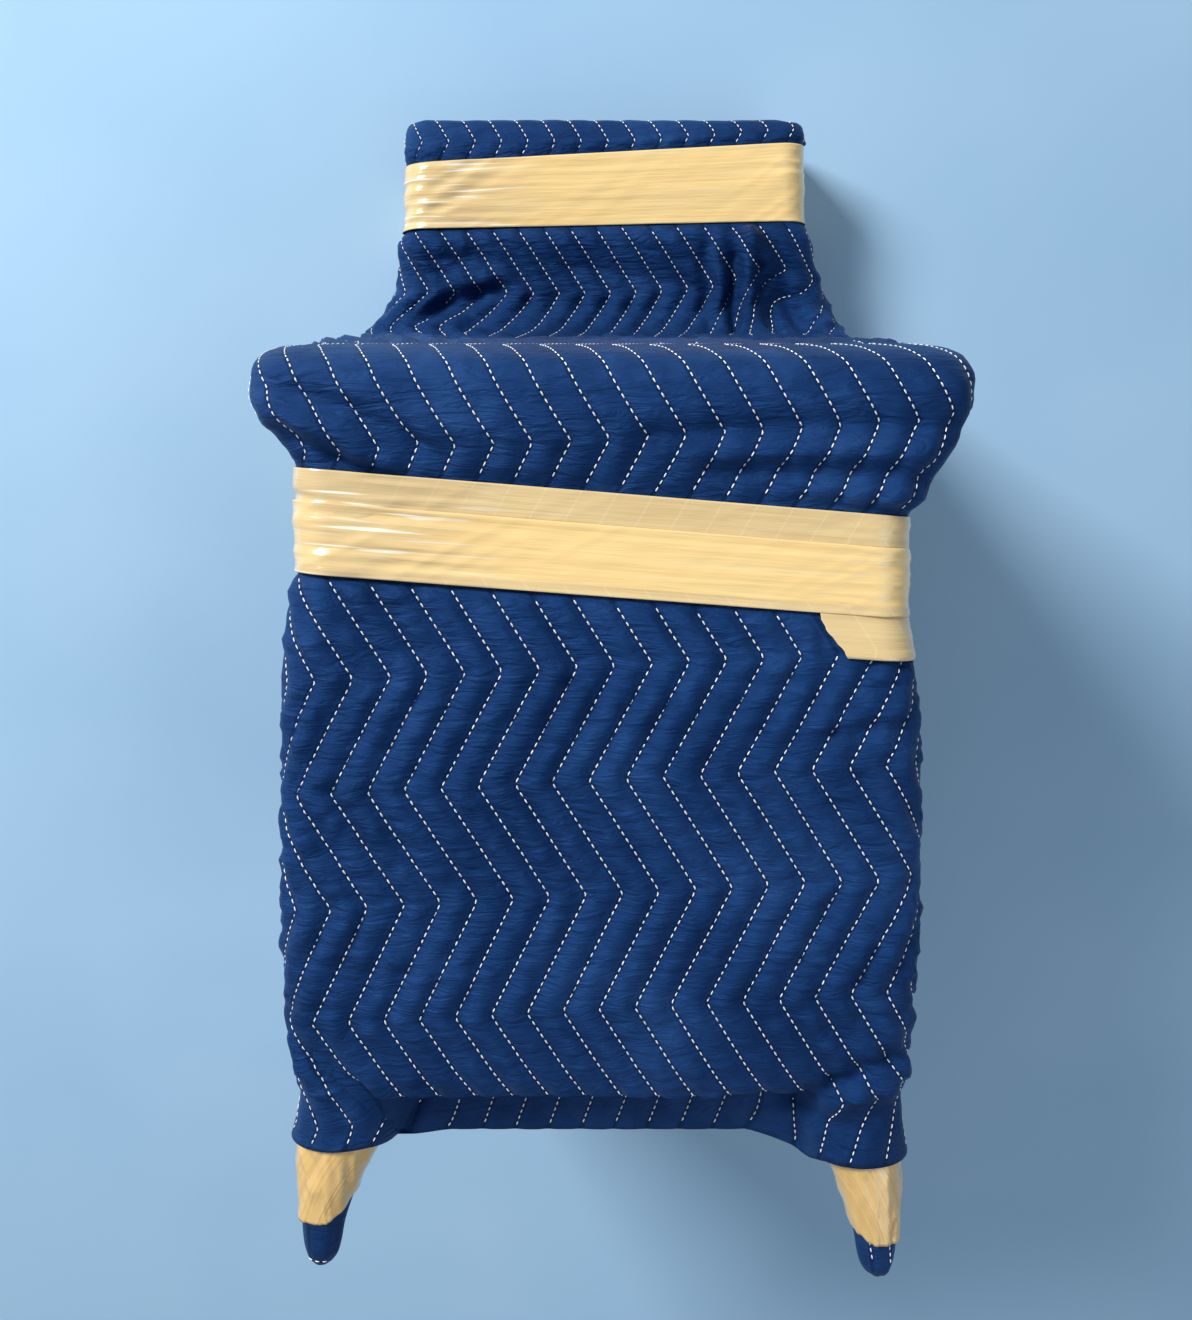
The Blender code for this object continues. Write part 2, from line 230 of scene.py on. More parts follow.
def grid_normals(points):
    """Outward unit normals: slope along the rows crossed with slope round the columns."""
    along = np.gradient(points, axis=0)
    round_it = np.roll(points, -1, axis=1) - np.roll(points, 1, axis=1)
    return unit(np.cross(along, round_it))


smooth = plain_cover()
COLUMNS = smooth.shape[1]
smooth_normal = grid_normals(smooth)
print("cover grid:", smooth.shape, "x from", round(float(smooth[..., 0].min()), 3))

# %% [markdown]
# ## The quilting pattern
# The stitch lines run from the backrest to the feet and turn left and right together, so each is
# a zigzag.  Measured round the cover from the middle of the front, a line is a constant plus a
# triangle wave.  The whole pattern is turned by a few degrees, because the blanket was put on a
# little askew.  `channel` counts the lines: whole numbers lie on a line, halves between two.

# %% Pattern coordinates on the cover
LINE_GAP = 0.0273           # between neighbouring stitch lines
HALF_PERIOD = 0.088         # between a turning to the right and one to the left
SWING = 0.0245              # a line swings this far to either side
DRIFT = math.tan(math.radians(2.5))    # the lines wander to the right on the way down
RISE = math.tan(math.radians(3.2))     # the rows of turnings climb to the right
MIDDLE_X = 0.008            # the pattern is measured from here
TURN_PER_Y = -1 / 0.0862    # turnings per metre where a section tilts
# how far the cloth has slipped sideways, in lines, at some turnings from the top down
SLIP = {-8.0: -0.42, -6.0: -0.24, 0.0: -0.17, 2.0: -0.04, 3.0: 0.01, 6.0: 0.02}


def girth(points):
    """Signed distance round each row from the front's middle: right above 0, left below."""
    step = np.linalg.norm(np.roll(points, -1, axis=1) - points, axis=2)
    forward = np.concatenate([np.zeros((len(points), 1)), np.cumsum(step, axis=1)], axis=1)
    half = points.shape[1] // 2
    total = forward[:, -1:]
    around = forward[:, :-1]
    signed = np.where(np.arange(points.shape[1])[None, :] <= half, around, around - total)
    return signed + points[:, :1, 0] - MIDDLE_X


around = girth(smooth)
turning = ROW["turn"][:, None] + TURN_PER_Y * ROW["tilt"][:, None] * smooth[..., 0]
low_part = limited((turning + 1.5) / 2.0)
right_part = np.clip(around - 0.02, 0.0, 0.3) * 1.5
turning = turning + (around * low_part + right_part * (1 - low_part)) * RISE / HALF_PERIOD
# at the left of the backrest's foot a tuck has eaten part of a row
tucked = limited((-smooth[..., 0] - 0.06) / 0.12)
tucked = tucked * limited((0.195 - smooth[..., 1]) / 0.04)
turning = turning + 0.5 * tucked * limited(-3.0 - turning)


# On the sides of the seat's wall the cloth goes straight past the corner, so fewer turnings fit;
# two whole zigzags are lost, which leaves the rows in step again at the backrest.
WALL_END, WALL_START = -5.38, -0.93
row_turn = ROW["turn"][:, None]
lost = np.interp(row_turn, [WALL_END, WALL_START], [4.0, 0.0])
on_side = np.abs(smooth_normal[..., 0]) > 0.6
lost = lost * on_side * (row_turn > WALL_END)


def channel_number(around, turning):
    """Line number: distance round, less the drift of the askew pattern, less the triangle wave."""
    wave = SWING * (2 * np.abs(np.mod(turning + lost, 2.0) - 1.0) - 1.0)
    drift = turning * HALF_PERIOD * DRIFT
    slip = np.interp(turning, list(SLIP), list(SLIP.values()))
    return (around - drift - wave) / LINE_GAP + slip


# the loose fold beside the backrest drags the pattern with it
loose = np.exp(-((smooth[..., 0] - 0.182) / 0.030) ** 2 - ((smooth[..., 1] - 0.185) / 0.036) ** 2)
loose = loose * (smooth_normal[..., 2] > 0.2)
channel = channel_number(around + 0.016 * loose, turning + 0.42 * loose)
print("lines round the cover:", round(float(np.ptp(channel[ROWS // 2])), 1))

# %% [markdown]
# ## Uneven cloth
# Nothing about a wrapped blanket is even.  A smooth noise, made from a small table of random
# numbers with a fixed seed, gives the fine puckers; the folds that the eye picks out are listed one
# by one, each as a soft ridge or trough along its own line.

# %% A smooth noise
def ease(t):
    """A smooth step from 0 to 1."""
    return t * t * (3 - 2 * t)


def soft_noise(x, y, seed):
    """Random values on whole-number points, blended by a smooth step between them; from -1 to 1."""
    table = np.random.default_rng(seed).uniform(-1, 1, (64, 64))
    xi, yi = np.floor(x).astype(int), np.floor(y).astype(int)
    fx, fy = ease(x - xi), ease(y - yi)
    a = table[xi % 64, yi % 64] * (1 - fx) + table[(xi + 1) % 64, yi % 64] * fx
    b = table[xi % 64, (yi + 1) % 64] * (1 - fx) + table[(xi + 1) % 64, (yi + 1) % 64] * fx
    return a * (1 - fy) + b * fy


def between(value, low, high, soft):
    """1 between low and high, falling to 0 over a distance of soft outside them."""
    inside = np.minimum(value - low, high - value)
    return ease(limited(inside / soft + 1.0))


# %% Folds listed one by one
# from (x0, y0) to (x1, y1), bowed sideways by bow, half width, height (below 0 is a trough)
Fold = namedtuple("Fold", "x0 y0 x1 y1 bow half_width height")
FOLDS = [Fold(*row) for row in [
    # beside the backrest, right: the loose fold, the valley beside it and its lit pocket
    (0.160, 0.240, 0.168, 0.140, -0.003, 0.011, 0.017),
    (0.146, 0.222, 0.149, 0.140, -0.002, 0.006, -0.011),
    (0.196, 0.196, 0.214, 0.164, 0.002, 0.011, -0.013),
    (0.176, 0.226, 0.256, 0.150, -0.008, 0.009, 0.009),
    (0.128, 0.236, 0.132, 0.150, 0.0, 0.007, 0.004),
    (0.114, 0.225, 0.120, 0.150, 0.0, 0.008, -0.005),
    # beside the backrest, left: the tuck
    (-0.222, 0.150, -0.110, 0.192, 0.004, 0.008, -0.010),
    (-0.214, 0.170, -0.112, 0.206, 0.004, 0.010, 0.006),
    (-0.238, 0.148, -0.150, 0.160, 0.003, 0.008, 0.005),
    # along the middle of the backrest's foot
    (-0.060, 0.176, 0.060, 0.170, 0.003, 0.008, -0.003),
    (-0.020, 0.214, 0.110, 0.196, 0.003, 0.008, -0.003),
    # from the left ear of the seat roll down to the tape
    (-0.245, 0.066, -0.120, 0.016, 0.006, 0.009, -0.007),
    (-0.236, 0.048, -0.150, 0.006, 0.002, 0.008, 0.005),
    (-0.222, 0.030, -0.170, 0.000, 0.0, 0.006, -0.005),
    # along the right half of the roll, over the tape
    (0.040, 0.026, 0.262, 0.034, 0.003, 0.008, -0.006),
    (0.070, 0.014, 0.235, 0.014, 0.003, 0.007, 0.004),
    (0.090, 0.002, 0.240, -0.002, 0.002, 0.006, -0.005),
    (0.150, -0.008, 0.235, -0.014, 0.0, 0.006, 0.004),
    # the bright crease under the free end
    (0.168, -0.180, 0.226, -0.170, 0.001, 0.005, 0.003),
    (0.160, -0.190, 0.222, -0.180, 0.001, 0.005, -0.003),
    # pleats where the front is drawn down to the legs
    (-0.212, -0.446, -0.150, -0.498, -0.007, 0.009, -0.014),
    (-0.182, -0.476, -0.150, -0.512, -0.002, 0.006, -0.008),
    (-0.205, -0.478, -0.168, -0.512, 0.0, 0.006, 0.004),
    (-0.226, -0.420, -0.196, -0.500, -0.004, 0.008, -0.004),
    (0.118, -0.482, 0.176, -0.494, 0.003, 0.008, -0.011),
    (0.160, -0.486, 0.238, -0.440, 0.008, 0.009, -0.009),
    (0.168, -0.500, 0.232, -0.462, 0.004, 0.008, 0.005),
    (0.170, -0.512, 0.226, -0.490, 0.0, 0.007, -0.004),
]]


def fold_height(x, y):
    """Sum of bells across bowed lines, each fading past the ends of its line."""
    total = np.zeros_like(x)
    for fold in FOLDS:
        length = math.hypot(fold.x1 - fold.x0, fold.y1 - fold.y0)
        ux, uy = (fold.x1 - fold.x0) / length, (fold.y1 - fold.y0) / length
        reach = (x - fold.x0) * ux + (y - fold.y0) * uy
        share = limited(reach / length)
        aside = (y - fold.y0) * ux - (x - fold.x0) * uy - fold.bow * 4 * share * (1 - share)
        past = np.maximum(0.0, np.maximum(-reach, reach - length))
        total += fold.height * np.exp(-(aside ** 2 + 0.4 * past ** 2) / fold.half_width ** 2)
    return total


# %% [markdown]
# ## The quilted surface
# Between two stitch lines the wadding lifts the cloth, and at a line it is pinned down.  Under the
# tape it is pressed flat, and just beside the tape it swells.  The back lies on the floor, so there
# the lines only sink.

# %% Puff, puckers and pinch
PUFF = 0.0047               # from a stitch line to the crown of a channel
LIFT = 0.45                 # this share of the puff is below the smooth cover
PUCKER = 0.0018
TORN_FROM = 0.158           # the waist tape's free end starts here, right of the middle
row_v = row_length[:, None] + 0 * around


def near_tape(margin, soft):
    """1 under the bands and as far as margin beside them.  A tilted band keeps to its own rows,
    so its place is read from the row alone."""
    bands = (("back tape top", "back tape foot"), ("waist tape top", "waist foot"))
    return np.maximum.reduce([
        between(row_v, ROW_OF[top] - margin, ROW_OF[foot] + margin, soft) for top, foot in bands])


under_end = between(row_v, ROW_OF["waist foot"], ROW_OF["free end foot"] - 0.003, 0.006)
under_end = under_end * between(around, TORN_FROM, 0.50, 0.010)
under_tape = np.maximum(near_tape(0.0, 0.010), under_end)
beside_tape = near_tape(0.012, 0.016) - under_tape
facing_up = limited(smooth_normal[..., 2])
facing_down = limited(-smooth_normal[..., 2] * 1.5)
in_front = between(around, -0.27, 0.29, 0.03)


def quilted():
    """The smooth cover moved along its normals by the sum of puff, puckers, folds and swell."""
    crown = 1.0 - np.abs(np.cos(np.pi * channel)) ** 4.0
    uneven = 1.0 + 0.30 * soft_noise(channel * 0.9 + 7, turning * 1.7 + 3, 3)
    on_roll = between(turning, -0.8, 0.45, 0.25) * facing_up
    stretched = np.maximum.reduce([
        between(turning, -1.9, -0.40, 0.22) * (1 - facing_down),
        between(row_v, ROW_OF["mouth"] - 0.034, ROW_OF["mouth"] + 1.0, 0.008),
        between(row_v, -0.01, ROW_OF["top"] + 0.004, 0.006),
        0.45 * np.abs(smooth_normal[..., 0]),
    ])
    puff = PUFF * crown * uneven * (1 - 0.45 * on_roll) * (1 - 0.85 * stretched)
    lift = puff - LIFT * PUFF
    lift = lift * (1 - facing_down) + (puff - PUFF * 1.3) * facing_down
    edge = 0.5 + 1.1 * limited((np.abs(around) - 0.06) / 0.18)
    pucker = soft_noise(around / 0.024 + row_v * 9, row_v / 0.0075 + around * 4, 11)
    pucker += 0.8 * soft_noise(around / 0.012 + 9, row_v / 0.0095 + 5 + around * 6, 12)
    pucker = np.maximum(pucker, -0.9)
    calm = 1 - 0.75 * on_roll
    pucker = pucker * (0.35 + 0.65 * crown) * (1 - facing_down) * (1 - 0.8 * stretched)
    lift = lift + PUCKER * edge * calm * pucker
    wide = soft_noise(around / 0.07 + 3, row_v / 0.06, 21) * 0.0022 * (1 - 0.9 * stretched)
    lift = lift + wide * (1 - facing_down) * calm
    lift = lift * (1 - under_tape) + 0.0015 * beside_tape * (1 - facing_down)
    lift = lift - 0.0006 * under_tape
    folds = fold_height(smooth[..., 0], smooth[..., 1]) * (1 - under_tape)
    lift = lift + folds * facing_up * in_front
    return smooth + smooth_normal * lift[..., None]


HEM_Y = -0.474              # the front turns under here
HEM_TURN = 0.011            # over this distance
HEM_DROP = 0.026


def turn_under(points):
    """Between the legs the front rolls under and its edge comes out again lower down: the middle
    of the last rows drops, steeply at first and then gently."""
    past = HEM_Y - points[..., 1]
    step = limited(past / HEM_TURN)
    late = limited((past - HEM_TURN) / 0.030)
    drop = HEM_DROP * ease(step) + 0.004 * late
    middle = between(points[..., 0], -0.138, 0.150, 0.030)
    top = limited(smooth_normal[..., 2] * 2)
    tuck = 0.013 * np.exp(-((step - 0.80) / 0.30) ** 2) * (1 - late)
    moved = points.copy()
    moved[..., 2] -= drop * middle * top
    moved[..., 1] += (tuck - 0.010 * late) * middle * top
    return moved


cloth = turn_under(quilted())
cloth[..., 2] = np.maximum(cloth[..., 2], FLOOR)
print("cloth box:", cloth.reshape(-1, 3).min(0).round(3), cloth.reshape(-1, 3).max(0).round(3))

# %% [markdown]
# ## Legs
# At the feet the blanket is gathered round each leg of the stool and taped.  A leg is a tapered
# sleeve: ellipses carried along the cover.  The same function gives the cloth, the tape over it
# and the place to which the corners of the cover are drawn.

# %% The leg sleeves
Leg = namedtuple("Leg", "y outer inner low high line")
LEG_TABLE = [
    Leg(-0.468, -0.229, -0.178, 0.488, 0.537, "inside"),
    Leg(-0.500, -0.239, -0.166, 0.476, 0.541, "skirt"),
    Leg(-0.519, -0.241, -0.170, 0.480, 0.541, "tape top"),
    Leg(-0.558, -0.240, -0.189, 0.494, 0.541, "tape"),
    Leg(-0.598, -0.239, -0.203, 0.505, 0.540, "tape foot"),
    Leg(-0.614, -0.238, -0.206, 0.506, 0.540, "foot"),
    Leg(-0.624, -0.236, -0.209, 0.508, 0.538, "foot"),
    Leg(-0.630, -0.232, -0.213, 0.512, 0.534, "foot"),
]
REAR_LEG_DROP = 0.480
RIGHT_LEG_SHIFT = 0.006
RIGHT_LEG_LONGER = 0.010
LEGS = {
    "front_left": (-1, 0.0),
    "front_right": (1, 0.0),
    "rear_left": (-1, REAR_LEG_DROP),
    "rear_right": (1, REAR_LEG_DROP),
}
leg_rows = np.array([leg[:-1] for leg in LEG_TABLE])
RIM_Y = -0.519              # where the cover's corners meet the sleeves
LEG_REACH = 0.090           # cloth this near a leg's axis is drawn to it
LEG_SOFT = 0.042            # and fully so when this much nearer


def leg_point(side, drop, y, angle, lift=0.0):
    """Ellipse about the sleeve's axis at y; angle 0 points to the outer side, 90 degrees up."""
    at = monotone(-leg_rows[:, 0], leg_rows, -y.ravel())
    outer, inner, low, high = (at[:, k].reshape(y.shape) for k in range(1, 5))
    across = 0.5 * np.abs(inner - outer) + lift
    deep = 0.5 * (high - low) + lift
    middle = 0.5 * (inner + outer)
    x = side * (-middle + across * np.cos(angle)) + RIGHT_LEG_SHIFT * (side > 0)
    z = 0.5 * (low + high) - drop + deep * np.sin(angle) + FLOOR
    start, finish = LEG_TABLE[0].y, LEG_TABLE[-1].y
    longer = RIGHT_LEG_LONGER * (side > 0) * (start - y) / (start - finish)
    return np.stack([x, y - longer, z], axis=-1)


def draw_to_leg(points, side, drop):
    """Pull the cover's corner rows towards one sleeve's surface, most at the very edge."""
    outer, inner = leg_point(side, drop, np.full(2, RIM_Y), np.array([0.0, math.pi]))
    centre = 0.5 * (outer + inner)
    half = np.array([abs(outer[0] - inner[0]) / 2 + 0.0055, 0.0355])
    flat = points[..., [0, 2]] - centre[[0, 2]]
    distance = np.linalg.norm(flat, axis=2)
    near = limited((LEG_REACH - distance) / LEG_SOFT)
    late = limited((-0.478 - points[..., 1]) / 0.037) ** 1.5
    size = np.linalg.norm(flat / half, axis=2, keepdims=True)
    target = centre[[0, 2]] + flat / np.maximum(size, 1e-6)
    outward = limited(side * flat[..., :1] / 0.02)
    upper = limited(flat[..., 1:] / 0.012 + 1.0 + 3.0 * outward)
    weight = (near * late)[..., None] * np.where(size > 1.0, 0.9, upper)
    moved = points.copy()
    moved[..., [0, 2]] += (target - points[..., [0, 2]]) * weight
    droop = 0.010 + 0.014 * (side > 0)
    moved[..., 1] -= droop * (near * late) * (drop == 0)
    return moved


def draw_to_legs(points):
    """The cover drawn to all four legs."""
    for side, drop in LEGS.values():
        points = draw_to_leg(points, side, drop)
    return points


cloth = draw_to_legs(cloth)
print("rim reaches y =", round(float(cloth[-1, :, 1].min()), 4))

# %% [markdown]
# ## Making meshes
# A grid becomes a mesh by numbering its corners once and writing the faces as one array.  A sheet
# gets a second, coarser layer inside it and a rim between the two, so that it is closed and has
# the thickness of the real blanket.

# %% Mesh helpers
def quad_faces(rows, columns, start=0, wrap=True):
    """Corner numbers of the quads of a grid, facing the side that grid_normals points to."""
    i = np.arange(rows - 1)[:, None]
    j = np.arange(columns if wrap else columns - 1)[None, :]
    k = (j + 1) % columns
    quads = np.stack([i * columns + j, (i + 1) * columns + j, (i + 1) * columns + k,
                      i * columns + k], axis=2)
    return quads.reshape(-1, 4) + start


def triangles(quads):
    """Two triangles for each quad."""
    return np.concatenate([quads[:, [0, 1, 2]], quads[:, [0, 2, 3]]])


def make_mesh(name, points, faces, uv_maps=None, smooth_shade=True):
    """A mesh object from triangles, with uv maps given as name to one (u, v) for each point."""
    mesh = bpy.data.meshes.new(name)
    mesh.vertices.add(len(points))
    mesh.vertices.foreach_set("co", np.asarray(points, np.float32).ravel())
    mesh.loops.add(faces.size)
    mesh.loops.foreach_set("vertex_index", faces.astype(np.int32).ravel())
    mesh.polygons.add(len(faces))
    mesh.polygons.foreach_set("loop_start", np.arange(0, faces.size, 3, dtype=np.int32))
    mesh.polygons.foreach_set("loop_total", np.full(len(faces), 3, np.int32))
    mesh.update(calc_edges=True)
    for uv_name, values in (uv_maps or {}).items():
        layer = mesh.uv_layers.new(name=uv_name)
        layer.data.foreach_set("uv", np.asarray(values, np.float32)[faces.ravel()].ravel())
    mesh.polygons.foreach_set("use_smooth", np.full(len(faces), smooth_shade))
    mesh.validate()
    item = bpy.data.objects.new(name, mesh)
    bpy.context.scene.collection.objects.link(item)
    return item


def join_arrays(chunks):
    """Points, faces and uv values of several shapes in one numbering."""
    points, faces, maps, start = [], [], [], 0
    for chunk_points, chunk_faces, chunk_maps in chunks:
        points.append(chunk_points)
        faces.append(chunk_faces + start)
        maps.append(chunk_maps)
        start += len(chunk_points)
    names = maps[0].keys()
    joined = {name: np.concatenate([one[name] for one in maps]) for name in names}
    return np.concatenate(points), np.concatenate(faces), joined


# %% The blanket's closed sheet
QUILT = 0.007
COARSE = 5                  # the inner layer keeps one point in so many


def sheet_arrays(outer, inner, maps, cap_outer=None, cap_inner=None, coarse=COARSE):
    """A closed sheet: fine outer layer, coarse inner layer, a rim at the last row, and either
    caps or a rim at the first row."""
    rows, columns = outer.shape[:2]
    thin = inner[:, ::coarse]
    keep = np.unique(np.append(np.arange(0, rows, coarse), rows - 1))
    thin = thin[keep]
    inner_rows, inner_columns = thin.shape[:2]
    first = rows * columns
    faces = [triangles(quad_faces(rows, columns))]
    faces.append(triangles(quad_faces(inner_rows, inner_columns, first))[:, ::-1])

    def rim(outer_start, inner_start, turn):
        """Strip between a fine ring and a coarse one: a fan for each coarse point."""
        j = np.arange(columns)
        k = (j + 1) % columns
        near, ahead = j // coarse, ((j // coarse) + 1) % inner_columns
        fan = np.stack([outer_start + j, inner_start + near, outer_start + k], axis=1)
        last = j % coarse == coarse - 1
        step = np.stack([outer_start + k, inner_start + near, inner_start + ahead], axis=1)[last]
        strip = np.concatenate([fan, step])
        return strip[:, ::turn]

    end_inner = first + (inner_rows - 1) * inner_columns
    faces.append(rim((rows - 1) * columns, end_inner, 1))
    points = [outer.reshape(-1, 3), thin.reshape(-1, 3)]
    if cap_outer is None:
        faces.append(rim(0, first, -1))
    else:
        tip = first + inner_rows * inner_columns
        points.append(np.array([cap_outer, cap_inner]))
        j = np.arange(columns)
        faces.append(np.stack([j, (j + 1) % columns, 0 * j + tip], axis=1))
        j = np.arange(inner_columns)
        j, k = first + j, first + (j + 1) % inner_columns
        faces.append(np.stack([k, j, 0 * j + tip + 1], axis=1))
    points = np.concatenate(points)
    joined = {}
    for name, (u, v) in maps.items():
        flat = np.stack([u, v], axis=2)
        inside = flat[keep][:, ::coarse]
        parts = [flat.reshape(-1, 2), inside.reshape(-1, 2)]
        if cap_outer is not None:
            parts.append(np.repeat(flat[:1, 0], 2, axis=0))
        joined[name] = np.concatenate(parts)
    return points, np.concatenate(faces), joined


cloth_normal = grid_normals(cloth)
lining = draw_to_legs(turn_under(smooth - smooth_normal * (QUILT + 0.002)))
lining[-1] = cloth[-1] - cloth_normal[-1] * QUILT
cap = cloth[0].mean(axis=0)
cap[1] = END_CAP_Y
cap_inner = cap - np.array([0.0, QUILT, 0.0])
body = sheet_arrays(cloth, lining, {"pattern": (channel, turning), "cloth": (around, row_v)},
                    cap, cap_inner)
print("cover:", len(body[1]), "triangles")

# %% The leg sleeves' cloth
SLEEVE_QUILT = 0.004
SLEEVE_SHAPE = (44, 40)     # rows along a leg, points round it


def sleeve_arrays(side, drop):
    """A tapered sleeve with soft lengthwise folds."""
    rows, columns = SLEEVE_SHAPE
    y, angle = np.meshgrid(np.linspace(-0.470, LEG_TABLE[-1].y, rows),
                           np.linspace(0, 2 * np.pi, columns, endpoint=False), indexing="ij")
    seed = 31 + side + int(drop > 0)
    folds = 0.0010 * soft_noise(angle * 3 + side * 5 + 20, (y + 1) * 9, seed)
    points = leg_point(side, drop, y, angle, folds - 0.0008)
    inner = leg_point(side, drop, y, angle, folds - SLEEVE_QUILT)
    if side > 0:
        points, inner = points[:, ::-1], inner[:, ::-1]
    points[..., 2] = np.maximum(points[..., 2], FLOOR)
    size = angle * 0.018
    maps = {"pattern": (size / LINE_GAP + 0.3, -y / HALF_PERIOD), "cloth": (size, -y)}
    return sheet_arrays(points, inner, maps, coarse=4)


sleeves = [sleeve_arrays(side, drop) for side, drop in LEGS.values()]
points, faces, maps = join_arrays([body] + sleeves)
blanket = make_mesh("blanket_cloth", points, faces, maps)
print("blanket:", len(faces), "triangles")

# %% [markdown]
# ## Stitches
# The thread shows as separate dashes.  Each line of the pattern is found on the finished cloth,
# walked by its true length, and set with small low blocks: a stitch, a gap, a stitch.  They are
# real geometry because they catch the light and are the first thing that the eye reads.

# %% Lines of stitches
STITCH_PITCH = 0.0060
STITCH_SHARE = 0.56
THREAD_WIDE = 0.0012
THREAD_THICK = 0.0008
HIDDEN_FROM = 0.55          # share of tape over a stitch that leaves it out
half = COLUMNS // 2
unrolled = np.concatenate([np.arange(half + 1, COLUMNS), np.arange(0, half + 1)])
flat_points, flat_normal = cloth[:, unrolled], cloth_normal[:, unrolled]
flat_channel, flat_under = channel[:, unrolled], under_tape[:, unrolled]


def walk_lines():
    """For every line, where it crosses each row: columns at which the channel is that number."""
    numbers = np.arange(math.ceil(flat_channel.min()), math.floor(flat_channel.max()) + 1)
    places = np.array([
        np.interp(numbers, row, np.arange(COLUMNS), left=np.nan, right=np.nan)
        for row in np.maximum.accumulate(flat_channel, axis=1)
    ])
    return places.T


def take(grid, row, place):
    """Values of a grid at whole rows and fractional columns."""
    low = np.clip(np.floor(place).astype(int), 0, COLUMNS - 2)
    part = place - low
    if grid.ndim == 3:
        part = part[:, None]
    return grid[row, low] * (1 - part) + grid[row, low + 1] * part


def steps_along(path):
    """Length along a path at each of its points."""
    return np.concatenate([[0.0], np.cumsum(np.linalg.norm(np.diff(path, axis=0), axis=1))])


def stations_along(path, upward, length, middle):
    """Start, middle and finish of each stitch, and its normal, at given lengths along a path."""
    def at(where, values):
        return np.stack([np.interp(where, length, values[:, k]) for k in range(3)], axis=1)

    reach = 0.5 * STITCH_SHARE * STITCH_PITCH
    stations = np.stack([at(middle + k * reach, path) for k in (-1, 0, 1)], axis=1)
    return stations, at(middle, upward)


def stitches_on(places):
    """Stitches of one line of the pattern, an even step apart, where no tape hides them."""
    row = np.flatnonzero(np.isfinite(places))
    if len(row) < 4:
        return None
    path, upward, hidden = (
        take(grid, row, places[row]) for grid in (flat_points, flat_normal, flat_under))
    length = steps_along(path)
    middle = np.arange(STITCH_PITCH, length[-1] - STITCH_PITCH, STITCH_PITCH)
    middle = middle[np.interp(middle, length, hidden) < HIDDEN_FROM]
    return stations_along(path, upward, length, middle)


def along_tip(side, y, angle):
    """Stitches on a leg's tip, along a short line of places and angles."""
    y, angle = np.linspace(*y, 40), np.linspace(*angle, 40)
    path = leg_point(side, 0.0, y, angle, -0.0004)
    upward = path - leg_point(side, 0.0, y, angle, -0.0054)
    length = steps_along(path)
    middle = np.arange(0.6, length[-1] / STITCH_PITCH - 0.4) * STITCH_PITCH
    return stations_along(path, upward, length, middle)


# a leg's tip shows a piece of a line: across it at the left, two along it at the right
TIP_LINES = [
    (-1, (-0.622, -0.626), (0.25 * math.pi, 0.80 * math.pi)),
    (1, (-0.596, -0.618), (0.66 * math.pi, 0.62 * math.pi)),
    (1, (-0.600, -0.622), (0.36 * math.pi, 0.30 * math.pi)),
]


def stitch_blocks(stations, upward):
    """Each stitch is three diamonds in a row, small, full, small, closed at both ends."""
    upward = unit(upward)
    aside = np.cross(unit(stations[:, 2] - stations[:, 0]), upward)
    around_it = [(aside, 0.5 * THREAD_WIDE), (upward, 0.65 * THREAD_THICK),
                 (-aside, 0.5 * THREAD_WIDE), (-upward, 0.6 * THREAD_THICK)]
    points = np.empty((len(stations), 3, 4, 3))
    for k, size in enumerate((0.55, 1.0, 0.55)):
        lift = upward * (0.0002 + 0.0002 * (k == 1))
        for m, (way, reach) in enumerate(around_it):
            points[:, k, m] = stations[:, k] + lift + way * reach * size
    base = (np.arange(len(stations)) * 12)[:, None, None]
    sides = []
    for k in range(2):
        for m in range(4):
            a, b = 4 * k + m, 4 * k + (m + 1) % 4
            sides += [(a, b, b + 4), (a, b + 4, a + 4)]
    sides += [(0, 2, 1), (0, 3, 2), (8, 9, 10), (8, 10, 11)]
    faces = base + np.array(sides)[None]
    return points.reshape(-1, 3), faces.reshape(-1, 3)


found = {"front": [], "left": [], "right": [], "back": []}
for places in walk_lines():
    line_of = stitches_on(places)
    if line_of is None:
        continue
    stations, upward = line_of
    lean = unit(upward)
    front = (lean[:, 2] > 0.5) | (lean[:, 1] > 0.5)
    back = lean[:, 2] < -0.5
    left = lean[:, 0] < 0
    facing = {"front": front, "left": left & ~front & ~back, "right": ~(front | back | left),
              "back": back}
    for name, chosen in facing.items():
        if chosen.any():
            found[name].append((stations[chosen], upward[chosen]))
found["front"] += [along_tip(*tip) for tip in TIP_LINES]
stitch_pieces = []
for name, chunks in found.items():
    stations, upward = (np.concatenate(values) for values in zip(*chunks))
    points, faces = stitch_blocks(stations, upward)
    stitch_pieces.append(make_mesh("stitches_" + name, points, faces, smooth_shade=False))
    print("stitches", name, len(stations), "stitches", len(faces), "triangles")

# %% [markdown]
# ## Tape
# The tape is a glossy tan film wound under tension.  It bridges the stitch channels, wrinkles
# along its length, most where it bites round a corner, and lets the navy show through where it is
# a single layer.  Each band is the smooth cover's own surface between two rows, raised a little.

# %% Bands on the cover
FILM = 0.0004


def sample(grid, row, column):
    """Blend of the four nearest grid values; columns go round."""
    low = np.clip(np.floor(row).astype(int), 0, ROWS - 2)
    left = np.floor(column).astype(int)
    part_r, part_c = (row - low)[..., None], (column - left)[..., None]
    left, right = left % COLUMNS, (left + 1) % COLUMNS
    top = grid[low, left] * (1 - part_c) + grid[low, right] * part_c
    foot = grid[low + 1, left] * (1 - part_c) + grid[low + 1, right] * part_c
    return top * (1 - part_r) + foot * part_r


pattern_grid = np.stack([channel, turning], axis=2)


